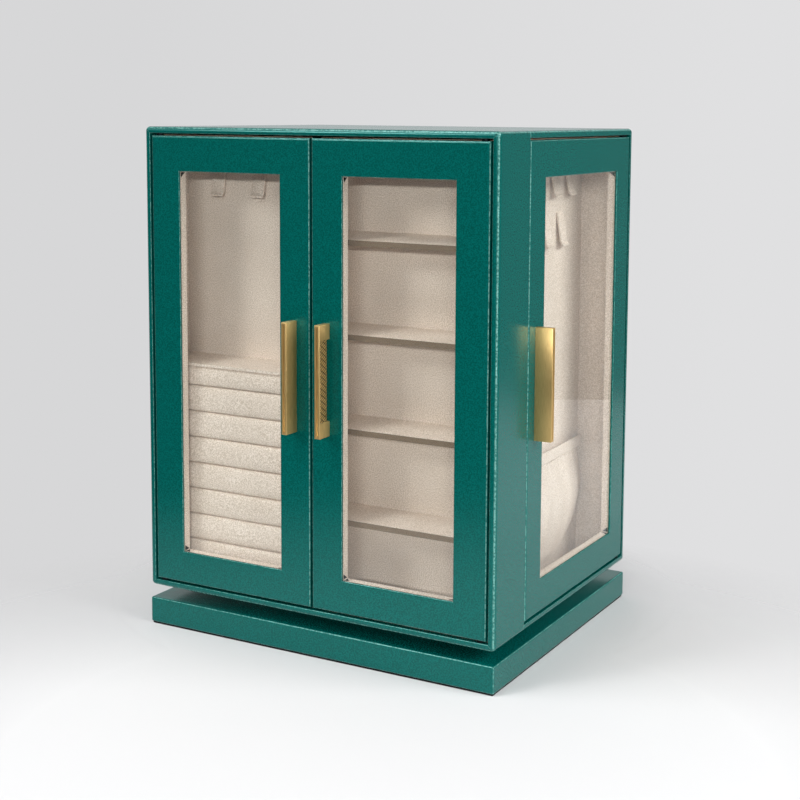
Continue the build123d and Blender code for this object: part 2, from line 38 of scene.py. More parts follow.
# Edge pull, seen along the door: u runs from the hinge to the free edge, v out of the door, w upwards
PULL_EDGE = 0.5 * MM
PULL_SOFT_EDGE = 0.16 * MM
PULL_PLATE = 1.6 * MM
PULL_LEG = 10.0 * MM
PULL_GRIP_GAP = 3.2 * MM
PULL_ARCH = 3.0 * MM
PULL_RECESS = 0.4 * MM
PULL_LIP = 1.0 * MM
PULL_GROOVE_WIDTH = 1.3 * MM
PULL_GROOVE_DEPTH = 1.0 * MM
PULL_GROOVE_END = 1.6 * MM

# Knurl of the grip, drawn coarser than the real one so that it shows: the run is the length of a cell in
# pitches, the spread widens the turned grid across the grip, and the cover is how far the grid reaches
# beyond the grip before it is trimmed
KNURL_PITCH = 1.4 * MM
KNURL_RUN = 2
KNURL_TURN = math.radians(-45)
KNURL_SPREAD = 1.6
KNURL_COVER = 1.2
KNURL_HEIGHT = 0.45 * MM
KNURL_FLAT_SHARE = 0.38
KNURL_SHEET = 0.3 * MM

# Padded ring rolls: the first and the last one are partly hidden
ROLL_COUNT = 9
TOP_ROLL_SHARE = 0.75
BOTTOM_ROLL_SHARE = 0.58
ROLL_SLIT = 0.4 * MM
ROLL_CROWN = 3.0 * MM
ROLL_TUCK = 0.9 * MM
ROLL_TUCK_LENGTH = 4 * MM
ROLL_RIPPLE = 0.22 * MM
ROLL_CLEARANCE = 0.05 * MM
ROLL_FLATNESS = 0.8
ROLL_FULLNESS = 0.75
ROLL_COLUMNS = 36
ROLL_STEPS = 22

# Gathered pockets: the lower corners of the cut cloth are rounded, and the throat is drawn in by the hem
POCKET_COLUMNS = 270
POCKET_ROWS = 44
POCKET_CORNER = 70.0 * MM
POCKET_CLOTH = 0.8 * MM
POCKET_THROAT = 6.4 * MM
POCKET_BELLY_SHARE = 0.64
POCKET_END_DRAW = 5.0 * MM
POCKET_LEAN = 6.0 * MM
SEWN_END_SHARE = 0.22
PLEAT_START_SHARE = 0.8
PLEAT_WIDTH = 3.4 * MM
PLEAT_HEIGHT = 0.28 * MM
FOLD_WIDTH = 19.0 * MM
FOLD_HEIGHT = 0.4 * MM

# Hems of the pockets, ruffled by the elastic in them
HEM_COLUMNS = 260
HEM_RING = 16
HEM_ROUNDNESS = 0.7
HEM_EDGE = 0.3 * MM
HEM_EDGE_SHIFT = 1.1 * MM
RUFFLE_WIDTH = 3.0 * MM
RUFFLE_HEIGHT = 0.3 * MM

# Windows: how far the glass reaches behind the leatherette, and the bare corners of the card, where the
# flock is slit to be folded through
GLASS_LIP = 5.0 * MM
BARE_CORNER = 4.0 * MM
BARE_CORNER_THICKNESS = 0.15 * MM

# Flocked card: its rounded edges, and the width of its dark edges, painted near-black for the bare card at
# a cut and, wider on the doors' inner frames, as painted shade for the gap round a door
FLOCK_EDGE = 0.4 * MM
LINING_DARK_EDGE = 0.1 * MM
INNER_FRAME_DARK_EDGE = 1.2 * MM
DARK_EDGE_FADE = 0.05 * MM

# The photograph's viewpoint, lens and framing
VIEWPOINT = (0.5191, -0.8974, 0.3618)
VIEW_AZIMUTH = math.radians(28.61)
VIEW_ELEVATION = math.radians(6.32)
VIEW_ROLL = math.radians(0.39)
VIEW_LENS = 65.89
VIEW_SENSOR = 36
VIEW_SHIFT = (-0.0401, -0.15875)

# The table under the cabinet, the middle of the pale paper that shows on it, and the directions to the
# pale wall and to the dim one
TABLE_MIDDLE = (0.12, 0.20, 0)
TABLE_RADIUS = 0.68
PAPER_MIDDLE = (0.12, -0.22, 0)
PALE_WALL = (-0.77, 0.64, 0)
DIM_WALL = (0.48, 0.88, 0)

# Area lights: azimuth and elevation in degrees, with azimuth 0 in front of the cabinet and 90 on its
# right, then distance, width and height in metres and power in watts. All look at one point.
LAMP_AIM = Vector((0, 0, 0.18))
LAMPS = {
    "top_softbox": (0, 88, 1.7, 1.4, 1.4, 3),
    "front_strip_light": (24, 12.8, 2.0, 1.0, 0.03, 17),
    "left_softbox": (-33, 28, 2.0, 0.5, 0.4, 11),
    "left_high_softbox": (-35, 60, 1.9, 1.0, 0.6, 17),
    "right_softbox": (92, 28, 1.9, 1.2, 0.8, 31),
    "edge_strip_light": (66, 4, 2.0, 0.06, 1.0, 6),
}

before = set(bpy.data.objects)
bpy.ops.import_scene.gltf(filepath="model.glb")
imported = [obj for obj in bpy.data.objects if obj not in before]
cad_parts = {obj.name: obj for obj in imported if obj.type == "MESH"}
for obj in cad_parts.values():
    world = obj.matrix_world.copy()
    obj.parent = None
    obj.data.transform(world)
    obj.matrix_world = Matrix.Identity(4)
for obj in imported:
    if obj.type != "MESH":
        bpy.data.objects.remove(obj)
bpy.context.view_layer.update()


# Modelling by hand


def deselect():
    bpy.ops.object.select_all(action="DESELECT")


def make_active(piece):
    deselect()
    piece.select_set(True)
    bpy.context.view_layer.objects.active = piece


def edit(piece):
    make_active(piece)
    bpy.ops.object.mode_set(mode="EDIT")


def leave():
    bpy.ops.object.mode_set(mode="OBJECT")


def settle(name):
    """Names the active piece and puts its place, turn and scale into its mesh."""
    piece = bpy.context.object
    piece.name = piece.data.name = name
    bpy.ops.object.transform_apply(location=True, rotation=True, scale=True)
    return piece


def add_block(name, low, high):
    """A block between two corners."""
    low, high = Vector(low), Vector(high)
    deselect()
    bpy.ops.mesh.primitive_cube_add(size=1, location=(low + high) / 2, scale=high - low)
    return settle(name)


def pick(piece, kind, test):
    """Selects the edges or faces of the piece in edit mode whose middle passes the test."""
    mesh = bmesh.from_edit_mesh(piece.data)
    for elements in (mesh.verts, mesh.edges, mesh.faces):
        for element in elements:
            element.select = False
    mesh.select_mode = {"EDGE" if kind == "edges" else "FACE"}
    bpy.context.tool_settings.mesh_select_mode = (False, kind == "edges", kind == "faces")
    for element in getattr(mesh, kind):
        middle = sum((corner.co for corner in element.verts), Vector()) / len(element.verts)
        element.select = bool(test(middle, element))
    mesh.select_flush_mode()
    bmesh.update_edit_mesh(piece.data)


def finish_with(piece, kind, **settings):
    """Adds a modifier to the piece and applies it."""
    make_active(piece)
    modifier = piece.modifiers.new(kind.lower(), kind)
    for key, value in settings.items():
        setattr(modifier, key, value)
    bpy.ops.object.modifier_apply(modifier=modifier.name)


def carve(piece, cutter):
    """Cuts a cutter out of the piece and removes it."""
    finish_with(piece, "BOOLEAN", operation="DIFFERENCE", object=cutter, solver="EXACT")
    bpy.data.objects.remove(cutter)


def soften(piece, width, degrees):
    """Rounds the edges that are sharper than the angle."""
    finish_with(
        piece, "BEVEL", width=width, segments=2, limit_method="ANGLE",
        angle_limit=math.radians(degrees), use_clamp_overlap=True,
    )


def smooth(piece, degrees):
    make_active(piece)
    bpy.ops.object.shade_smooth_by_angle(angle=math.radians(degrees))


def join(pieces, name):
    """Joins pieces into the first one."""
    make_active(pieces[0])
    for piece in pieces:
        piece.select_set(True)
    bpy.ops.object.join()
    return settle(name)


def placed_copy(piece, name, matrix):
    """A copy with its own mesh, turned and moved; a mirrored one is turned right side out."""
    copy = piece.copy()
    copy.data = piece.data.copy()
    copy.name = copy.data.name = name
    bpy.context.scene.collection.objects.link(copy)
    copy.data.transform(matrix)
    if matrix.determinant() < 0:
        copy.data.flip_normals()
    return copy


def mesh_piece(name, points, faces):
    """A piece from the points and faces of a surface worked out in code."""
    mesh = bpy.data.meshes.new(name)
    mesh.from_pydata(points, [], faces)
    piece = bpy.data.objects.new(name, mesh)
    bpy.context.scene.collection.objects.link(piece)
    return piece


def grid_piece(name, points, columns, rows):
    """A sheet through a grid of points that is listed row by row."""
    faces = []
    for row in range(rows):
        for column in range(columns):
            corner = row * (columns + 1) + column
            faces.append((corner, corner + 1, corner + columns + 2, corner + columns + 1))
    return mesh_piece(name, points, faces)


def tube_piece(name, points, ring):
    """A closed tube through rings of points that are listed one after the other."""
    last = len(points) // ring - 1
    faces = []
    for column in range(last):
        for step in range(ring):
            a, b = column * ring + step, column * ring + (step + 1) % ring
            faces.append((a, b, b + ring, a + ring))
    faces.append(tuple(reversed(range(ring))))
    faces.append(tuple(range(last * ring, (last + 1) * ring)))
    tube = mesh_piece(name, points, faces)
    edit(tube)
    bpy.ops.mesh.select_all(action="SELECT")
    bpy.ops.mesh.normals_make_consistent(inside=False)
    leave()
    return tube


def ease(share):
    """A smooth step from 0 to 1."""
    share = min(max(share, 0.0), 1.0)
    return share * share * (3 - 2 * share)


def raised(value, power):
    """A value between -1 and 1 raised to a power, with its sign kept."""
    return math.copysign(abs(value) ** power, value)


# Materials


def linear(hexadecimal):
    """An sRGB hex colour as linear RGBA."""
    channels = [int(hexadecimal[i:i + 2], 16) / 255 for i in (0, 2, 4)]
    return [c / 12.92 if c <= 0.04045 else ((c + 0.055) / 1.055) ** 2.4 for c in channels] + [1.0]


def add_node(material, kind, inputs, output=0, **settings):
    """Adds a node with its settings and gives one of its outputs. An input is a value or the output of
    another node. A Mix of colours has its colours at 6 and 7 and its result at 2."""
    tree = material.node_tree
    node = tree.nodes.new("ShaderNode" + kind)
    for key, value in settings.items():
        setattr(node, key, value)
    for key, value in inputs.items():
        if isinstance(value, bpy.types.NodeSocket):
            tree.links.new(value, node.inputs[key])
        else:
            node.inputs[key].default_value = value
    return node.outputs[output] if node.outputs else None


def new_material(name):
    material = bpy.data.materials.new(name)
    material.use_nodes = True
    material.node_tree.nodes.clear()
    return material


def mottled(material, pattern, low, high, dark, light):
    """A colour that runs from a dark tone to a light one as the pattern runs from low to high."""
    share = add_node(material, "MapRange", {"Value": pattern, "From Min": low, "From Max": high})
    return add_node(
        material, "Mix", {0: share, 6: linear(dark), 7: linear(light)}, 2, data_type="RGBA"
    )


def leatherette():
    """PU leatherette with a pressed grain: low pebbles under a satin film. Along its edges a paler colour
    is
    painted in short broken strokes: a painted highlight for the light that rounded edges catch. The real
    grain is finer, and is drawn this wide so that it shows."""
    grain_width, cloud_width, highlight_dash_length = 0.9 * MM, 35 * MM, 1.6 * MM
    grain_depth, edge_radius = 0.03 * MM, 0.5 * MM
    material = new_material("pressed_grain_leatherette")
    at = add_node(material, "TexCoord", {}, "Object")
    pebbles = add_node(
        material, "TexVoronoi", {"Vector": at, "Scale": 1 / grain_width}, feature="SMOOTH_F1"
    )
    fine = add_node(material, "TexNoise", {"Vector": at, "Scale": 1 / grain_width, "Detail": 3.0})
    cloud = add_node(material, "TexNoise", {"Vector": at, "Scale": 1 / cloud_width, "Detail": 2.0})
    highlight_dashes = add_node(material, "TexNoise", {"Vector": at, "Scale": 1 / highlight_dash_length, "Detail": 1.0})
    base = mottled(material, fine, 0.4, 0.6, "004B45", "00605A")
    clouded = add_node(
        material, "MapRange", {"Value": cloud, "From Min": 0.35, "From Max": 0.65, "To Max": 0.2}
    )
    base = add_node(material, "Mix", {0: clouded, 6: base, 7: linear("00544F")}, 2, data_type="RGBA")
    # Painted highlight along edges: where the rounded normal turns away from the face, and where the face
    # itself is slanted
    rounded = add_node(material, "Bevel", {"Radius": edge_radius}, samples=4)
    flat = add_node(material, "NewGeometry", {}, "Normal")
    turn = add_node(material, "VectorMath", {0: rounded, 1: flat}, "Value", operation="DOT_PRODUCT")
    turned = add_node(
        material, "MapRange", {"Value": turn, "From Min": 0.98, "From Max": 0.86, "To Max": 0.7}
    )
    own = add_node(material, "TexCoord", {}, "Normal")
    own = add_node(material, "VectorMath", {0: own}, operation="ABSOLUTE")
    parts = add_node(material, "SeparateXYZ", {0: own}).node.outputs
    most = add_node(material, "Math", {0: parts["X"], 1: parts["Y"]}, operation="MAXIMUM")
    most = add_node(material, "Math", {0: most, 1: parts["Z"]}, operation="MAXIMUM")
    slanted = add_node(
        material, "MapRange", {"Value": most, "From Min": 0.9, "From Max": 0.76, "To Max": 0.7}
    )
    drawn = add_node(material, "Math", {0: turned, 1: slanted}, operation="MAXIMUM")
    dashed_highlight = add_node(
        material, "MapRange", {"Value": highlight_dashes, "From Min": 0.42, "From Max": 0.56, "To Min": 0.25}
    )
    edge = add_node(material, "Math", {0: drawn, 1: dashed_highlight}, operation="MULTIPLY")
    # Painted highlight: the paler teal is mixed in along the edges, in broken strokes
    colour = add_node(material, "Mix", {0: edge, 6: base, 7: linear("7FB5AC")}, 2, data_type="RGBA")
    relief = add_node(
        material, "Bump",
        {"Height": pebbles, "Distance": grain_depth, "Strength": 0.6, "Normal": rounded},
    )
    relief = add_node(
        material, "Bump", {"Height": fine, "Distance": grain_depth, "Strength": 0.35, "Normal": relief}
    )
    roughness = add_node(
        material, "MapRange",
        {"Value": fine, "From Min": 0.3, "From Max": 0.7, "To Min": 0.16, "To Max": 0.24},
    )
    shader = add_node(
        material, "BsdfPrincipled",
        {
            "Base Color": colour, "Roughness": roughness, "IOR": 1.58,
            "Specular Tint": linear("A0F3ED"), "Normal": relief,
        },
    )
    add_node(material, "OutputMaterial", {"Surface": shader})
    return material


def velvet(name, pile_width=0.75 * MM, dark_edges=()):
    """Flocked velvet: upright fibres on a cloth, matt from the front and pale along the rim. The fibres
    are far finer, and are drawn in tufts this wide so that they show. Beyond a dark edge, given as an axis,
    a middle and how far from it the edge starts, near-black is painted: bare card at the cut, and painted
    shade for the gap round a door."""
    dark, light = "CAB7A6", "F5E6DB"
    drift_width, pile_depth = 22 * MM, 0.14 * MM
    material = new_material(name)
    at = add_node(material, "TexCoord", {}, "Object")
    pile = add_node(
        material, "TexNoise",
        {"Vector": at, "Scale": 1 / pile_width, "Detail": 2.0, "Roughness": 0.7},
    )
    drift = add_node(material, "TexNoise", {"Vector": at, "Scale": 1 / drift_width, "Detail": 2.0})
    colour = mottled(material, pile, 0.4, 0.6, dark, light)
    drifted = add_node(
        material, "MapRange", {"Value": drift, "From Min": 0.35, "From Max": 0.65, "To Max": 0.18}
    )
    colour = add_node(material, "Mix", {0: drifted, 6: colour, 7: linear(dark)}, 2, data_type="RGBA")
    parts = add_node(material, "SeparateXYZ", {0: at}).node.outputs
    # Painted shade: beyond each dark edge the colour goes near-black, for the bare card at a cut and the
    # shade in the gap round a door
    for axis, middle, start in dark_edges:
        off = add_node(material, "Math", {0: parts[axis], 1: middle}, operation="SUBTRACT")
        off = add_node(material, "Math", {0: off}, operation="ABSOLUTE")
        card = add_node(
            material, "MapRange", {"Value": off, "From Min": start - DARK_EDGE_FADE, "From Max": start}
        )
        colour = add_node(
            material, "Mix", {0: card, 6: colour, 7: linear("171514")}, 2, data_type="RGBA"
        )
    relief = add_node(material, "Bump", {"Height": pile, "Distance": pile_depth, "Strength": 0.9})
    shader = add_node(
        material, "BsdfPrincipled",
        {
            "Base Color": colour, "Roughness": 0.95, "Specular IOR Level": 0.1,
            "Sheen Weight": 0.12, "Sheen Roughness": 0.4, "Sheen Tint": linear("F6EBDD"),
            "Normal": relief,
        },
    )
    add_node(material, "OutputMaterial", {"Surface": shader})
    return material


def fibrous(name, dark, light, fibres, relief, gloss):
    """A matt finish of threads or fibres, which show in its tone and its relief."""
    material = new_material(name)
    at = add_node(material, "TexCoord", {}, "Object")
    pattern = add_node(material, "TexNoise", {"Vector": at, **fibres})
    normal = add_node(material, "Bump", {"Height": pattern, **relief})
    colour = mottled(material, pattern, 0.3, 0.7, dark, light)
    shader = add_node(material, "BsdfPrincipled", {"Base Color": colour, "Normal": normal, **gloss})
    add_node(material, "OutputMaterial", {"Surface": shader})
    return material


def dark_taupe_shelf_edge():
    """A darker taupe for the front edges of the shelves, darker than the flock: matt, with threads 0.6 mm
    wide.
    """
    threads = {"Scale": 1 / (0.6 * MM), "Detail": 3.0}
    relief = {"Distance": 0.08 * MM, "Strength": 0.6}
    gloss = {"Roughness": 0.9, "Specular IOR Level": 0.2}
    return fibrous("woven_edge_tape", "6A5948", "7E6C5A", threads, relief, gloss)


def pressed_fibre(name, dark, light):
    """Uncoated card or felt: matt, with fine fibres, drawn 0.5 mm wide so that they show."""
    fibres = {"Scale": 1 / (0.5 * MM), "Detail": 4.0, "Roughness": 0.65}
    relief = {"Distance": 0.1 * MM, "Strength": 0.7}
    gloss = {"Roughness": 0.92, "Specular IOR Level": 0.15}
    return fibrous(name, dark, light, fibres, relief, gloss)


def brushed_brass():
    """Brushed and lacquered brass: hairlines along the pull stretch its highlights, and the cuts of the
    knurl keep a brown patina. The real hairlines are finer, and are drawn this wide so that they show."""
    hairline, hairline_depth, shortening = 0.12 * MM, 0.004 * MM, 0.02
    material = new_material("brushed_lacquered_brass")
    at = add_node(material, "TexCoord", {}, "Object")
    lines = add_node(material, "Mapping", {"Vector": at, "Scale": (1, 1, shortening)})
    hair = add_node(material, "TexNoise", {"Vector": lines, "Scale": 1 / hairline, "Detail": 2.0})
    clean = mottled(material, hair, 0.3, 0.7, "BC9A5E", "DABB7E")
    depth = add_node(material, "Attribute", {}, "Fac", attribute_name="cuts")
    patina = add_node(material, "MapRange", {"Value": depth, "From Min": 0.25, "From Max": 0.7})
    colour = add_node(material, "Mix", {0: patina, 6: clean, 7: linear("1E1206")}, 2, data_type="RGBA")
    normal = add_node(material, "NewGeometry", {}, "Normal")
    across = add_node(material, "VectorMath", {0: normal, 1: (0, 0, 1)}, operation="CROSS_PRODUCT")
    roughness = add_node(
        material, "MapRange",
        {"Value": hair, "From Min": 0.3, "From Max": 0.7, "To Min": 0.34, "To Max": 0.44},
    )
    relief = add_node(
        material, "Bump", {"Height": hair, "Distance": hairline_depth, "Strength": 0.5}
    )
    shader = add_node(
        material, "BsdfPrincipled",
        {
            "Base Color": colour, "Metallic": 0.7, "Roughness": roughness,
            "Anisotropic": 0.7, "Tangent": across, "Normal": relief,
        },
    )
    add_node(material, "OutputMaterial", {"Surface": shader})
    return material


def float_glass():
    """Clear float glass; lamps reach what is behind it."""
    clearness = linear("FBFDFC")
    material = new_material("clear_float_glass")
    glass = add_node(
        material, "BsdfPrincipled",
        {"Base Color": clearness, "Roughness": 0.0, "IOR": 1.5, "Transmission Weight": 1.0},
    )
    clear = add_node(material, "BsdfTransparent", {"Color": clearness})
    rays = add_node(material, "LightPath", {}).node.outputs
    passing = add_node(
        material, "Math", {0: rays["Is Shadow Ray"], 1: rays["Is Diffuse Ray"]}, operation="MAXIMUM"
    )
    pane = add_node(material, "MixShader", {0: passing, 1: glass, 2: clear})
    add_node(material, "OutputMaterial", {"Surface": pane})
    return material


def finished_steel(name, dark, light, roughness):
    """Steel with a thin finish: faint clouds in its tone and gloss."""
    cloud_width = 2.5 * MM
    material = new_material(name)
    at = add_node(material, "TexCoord", {}, "Object")
    cloud = add_node(material, "TexNoise", {"Vector": at, "Scale": 1 / cloud_width, "Detail": 3.0})
    gloss = add_node(
        material, "MapRange",
        {
            "Value": cloud, "From Min": 0.3, "From Max": 0.7,
            "To Min": 0.8 * roughness, "To Max": 1.2 * roughness,
        },
    )
    shader = add_node(
        material, "BsdfPrincipled",
        {
            "Base Color": mottled(material, cloud, 0.3, 0.7, dark, light), "Metallic": 1.0,
            "Roughness": gloss,
        },
    )
    add_node(material, "OutputMaterial", {"Surface": shader})
    return material


FINISHES = {
    "leatherette": leatherette(),
    "inner_board": pressed_fibre("black_dyed_card", "0D0C0B", "151413"),
    "velvet_flock": velvet("flocked_velvet"),
    "shelf_binding": dark_taupe_shelf_edge(),
    "elastic_band": velvet("velvet_over_elastic", 0.5 * MM),
    "glass_pane": float_glass(),
    "handle_brass": brushed_brass(),
    "zinc_plated_steel": finished_steel("zinc_plated_steel", "9EA3A8", "B8BDC1", 0.35),
    # The fixings are near-black so that they stay as dark as the shaded gaps round the doors
    "blackened_steel": finished_steel("near_black_fixing_steel", "17171A", "232327", 0.4),
    "polished_steel": finished_steel("polished_bearing_steel", "B4B8BC", "C6CACD", 0.12),
    "base_felt": pressed_fibre("black_wool_felt", "0E0E0F", "1A1A1C"),
}
NODE_FINISHES = {
    "velvet_flock": ("_velvet", "_lining", "_hooks", "_rolls", "_pocket", "_shelf"),
    "glass_pane": ("_glass",),
    "handle_brass": ("_handle",),
    "blackened_steel": ("_fixings",),
    "shelf_binding": ("_bindings",),
    "elastic_band": ("_band",),
    "polished_steel": ("_balls",),
    "zinc_plated_steel": ("_plate", "_screws", "_magnets"),
    "base_felt": ("_felt",),
    "inner_board": ("_bulkhead", "_partition", "front_box_back"),
}


def finish_of(name):
    """The finish of a node, from what its name says it is."""
    if name.endswith(("_lining", "_door_velvet")):
        return flock_with_dark_edges(name)
    for slot, endings in NODE_FINISHES.items():
        if name.endswith(endings):
            return FINISHES[slot]
    return FINISHES["velvet_flock" if name.startswith("shelf_") else "leatherette"]


def flock_with_dark_edges(name):
    """Near-black is painted on the flock of a lining at its cut edge next to the door, and on that of a
    door's
    inner frame along its outer edges: bare card at the cut, and painted shade for the gap round the door."""
    low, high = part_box(name)
    dark_edges = []
    if name.endswith("_lining"):
        axis = "Y" if name.endswith("bay_lining") else "X"
        number = "XYZ".index(axis)
        dark_edges.append((axis, 0.0, max(abs(low[number]), abs(high[number])) - LINING_DARK_EDGE))
    else:
        for axis in ("X" if "front" in name else "Y", "Z"):
            number = "XYZ".index(axis)
            middle, half = (low[number] + high[number]) / 2, (high[number] - low[number]) / 2
            dark_edges.append((axis, middle, half - INNER_FRAME_DARK_EDGE))
    return velvet(f"{name}_flock", dark_edges=dark_edges)


def dress_nodes():
    for name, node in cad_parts.items():
        finish = finish_of(name)
        for slot in node.material_slots:
            slot.material = finish


def dress(piece, slot, body, *nodes):
    """Gives a piece its finish and its body, and hides the nodes that it stands for."""
    piece.data.materials.clear()
    piece.data.materials.append(FINISHES[slot])
    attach(piece, body)
    if nodes:
        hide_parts(*nodes)


# Edge pulls


def door_turn(door):
    """The turn from u, v, w on the door to the frame: to the free edge, out of the door, upwards."""
    side = -1 if door.startswith("left") else 1
    if door.endswith("front"):
        along, out = Vector((-side, 0, 0)), Vector((0, -1, 0))
    else:
        along, out = Vector((0, -1, 0)), Vector((side, 0, 0))
    return Matrix((along, out, Vector((0, 0, 1)))).transposed()


def door_box(door, part):
    """The lowest and highest corner of a part of the door in u, v, w."""
    back = door_turn(door).transposed()
    corners = [back @ Vector(corner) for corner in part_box(f"{door}_door_{part}")]
    return [Vector([pick_end(axis) for axis in zip(*corners)]) for pick_end in (min, max)]


def pull_place(door):
    """Puts the pull's middle where the handle's foot is on the door."""
    low, high = door_box(door, "handle")
    foot = (low + high) / 2
    foot.y = low.y
    return door_turn(door).to_4x4() @ Matrix.Translation(foot)


def make_pull_body(width, reach, length):
    """A block with an arch under the grip, a recess for the knurl and a groove along its front."""
    touch = MM / 100
    body = add_block("pull", (-width / 2, 0, -length / 2), (width / 2, reach, length / 2))
    grip_end = length / 2 - PULL_LEG
    arch = add_block(
        "arch", (-width / 2 - reach, -reach, -grip_end),
        (width / 2 - PULL_PLATE, PULL_GRIP_GAP, grip_end),
    )
    edit(arch)
    pick(arch, "edges", lambda at, edge: at.y > 0 and abs(abs(at.z) - grip_end) < touch
         and abs(edge.verts[0].co.x - edge.verts[1].co.x) > MM)
    bpy.ops.mesh.bevel(offset=min(PULL_ARCH, PULL_GRIP_GAP / 2), segments=6)
    leave()
    carve(body, arch)
    carve(body, add_block(
        "recess", (-width / 2 - reach, PULL_GRIP_GAP - reach, -grip_end),
        (-width / 2 + PULL_RECESS, reach - PULL_LIP, grip_end),
    ))
    carve(body, add_block(
        "groove", (-PULL_GROOVE_WIDTH / 2, reach - PULL_GROOVE_DEPTH, -length / 2 + PULL_GROOVE_END),
        (PULL_GROOVE_WIDTH / 2, 2 * reach, length / 2 - PULL_GROOVE_END),
    ))
    edit(body)
    pick(body, "edges", lambda at, edge: at.y > reach - touch and (
        abs(at.x) > width / 2 - touch or abs(at.z) > length / 2 - touch))
    bpy.ops.mesh.bevel(offset=PULL_EDGE, segments=3)
    leave()
    soften(body, PULL_SOFT_EDGE, 35)
    smooth(body, 30)
    return body


def make_knurl(width, reach, length):
    """Slanting ridges pressed into the grip: a turned and widened grid, each long cell drawn up to a
    flat, with cuts that go down to the pull."""
    grip_end = length / 2 - PULL_LEG
    low, high = PULL_GRIP_GAP, reach - PULL_LIP
    middle, half_band = (low + high) / 2, (high - low) / 2
    runs = int(grip_end * KNURL_COVER / KNURL_PITCH)
    cells = runs * KNURL_RUN
    deselect()
    bpy.ops.mesh.primitive_grid_add(x_subdivisions=cells, y_subdivisions=runs, size=cells * KNURL_PITCH)
    knurl = settle("knurl")
    edit(knurl)
    bpy.ops.mesh.select_all(action="SELECT")
    bpy.ops.transform.rotate(value=KNURL_TURN, orient_axis="Z", center_override=(0, 0, 0))
    bpy.ops.transform.resize(value=(1, KNURL_SPREAD, 1), center_override=(0, 0, 0))
    for normal, reach_out in (((0, 1, 0), half_band), ((1, 0, 0), grip_end)):
        for step in (-1, 1):
            bpy.ops.mesh.select_all(action="SELECT")
            bpy.ops.mesh.bisect(
                plane_co=[step * reach_out * part for part in normal],
                plane_no=[step * part for part in normal], clear_outer=True,
            )
    pick(knurl, "faces", lambda at, face: True)
    bpy.ops.mesh.inset(
        use_individual=True, thickness=KNURL_PITCH * (1 - KNURL_FLAT_SHARE) / 2, depth=KNURL_HEIGHT,
        use_boundary=True,
    )
    leave()
    cuts = knurl.data.attributes.new("cuts", "FLOAT", "POINT")
    for point, cut in zip(knurl.data.vertices, cuts.data):
        cut.value = 1.0 if point.co.z < KNURL_HEIGHT / 2 else 0.0
    finish_with(knurl, "SOLIDIFY", thickness=KNURL_SHEET, offset=-1)
    turn = Matrix((Vector((0, 0, 1)), Vector((0, 1, 0)), Vector((-1, 0, 0)))).transposed().to_4x4()
    knurl.data.transform(Matrix.Translation((PULL_RECESS - width / 2, middle, 0)) @ turn)
    return knurl


def make_pulls():
    low, high = (Vector(corner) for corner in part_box("right_front_door_handle"))
    size = high - low
    pull = join([make_pull_body(*size), make_knurl(*size)], "pull_pattern")
    for door in DOORS:
        copy = placed_copy(pull, f"{door}_pull", pull_place(door))
        dress(copy, "handle_brass", f"{door}_door", f"{door}_door_handle")
    bpy.data.objects.remove(pull)


# Ring rolls


def roll_ring(number, x, end, low, high, bottom, top):
    """A ring of points round a roll: a crowned front and a flat back. The end is how far the ring is
    from the nearer end of the roll."""
    points = []
    tuck = ROLL_TUCK * (1 - ease(end / ROLL_TUCK_LENGTH))
    for step in range(ROLL_STEPS + 1):
        angle = math.pi * step / ROLL_STEPS
        z = (bottom + top) / 2 + (top - bottom) / 2 * raised(-math.cos(angle), ROLL_FLATNESS)
        bulge = math.sin(angle) ** ROLL_FULLNESS
        ripple = ROLL_RIPPLE * noise.noise(Vector((x * 60, number * 7.3, z * 40)))
        y = low.y + tuck + ROLL_CROWN * (1 - bulge) + ripple * bulge + ROLL_CLEARANCE
        points.append((x, max(y, low.y), z))
    return points + [(x, high.y, top), (x, high.y, bottom)]


def make_ring_rolls():
    """Foam rolls wrapped in velvet, side by side; each is drawn in at its ends."""
    low, high = (Vector(corner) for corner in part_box("ring_rolls"))
    unit = (high.z - low.z + ROLL_SLIT) / (ROLL_COUNT - 2 + TOP_ROLL_SHARE + BOTTOM_ROLL_SHARE)
    shares = [BOTTOM_ROLL_SHARE] + [1] * (ROLL_COUNT - 2) + [TOP_ROLL_SHARE]
    bottom = low.z
    for number, share in enumerate(shares, start=1):
        top = bottom + share * unit - ROLL_SLIT
        points = []
        for column in range(ROLL_COLUMNS + 1):
            along = column / ROLL_COLUMNS
            x = low.x + (high.x - low.x) * along
            end = min(along, 1 - along) * (high.x - low.x)
            points += roll_ring(number, x, end, low, high, bottom, top)
        roll = tube_piece(f"ring_roll_{number}", points, ROLL_STEPS + 3)
        smooth(roll, 50)
        dress(roll, "velvet_flock", "case", *(["ring_rolls"] if number == 1 else []))
        bottom = top + ROLL_SLIT


# Gathered pockets


def wave(along, width, seed):
    """A wave along the cloth whose crests are unevenly spaced, from -1 to 1."""
    wander = noise.noise(Vector((along / (3.1 * width), seed, 0))) * 2.4
    return math.sin(2 * math.pi * along / width + wander)


def drawn_to_wall(share):
    """How far the cloth stands off the wall along the bay, as a share: least at its sewn ends."""
    bow = max(math.sin(math.pi * share), 0.0) ** 0.45
    return SEWN_END_SHARE + (1 - SEWN_END_SHARE) * bow


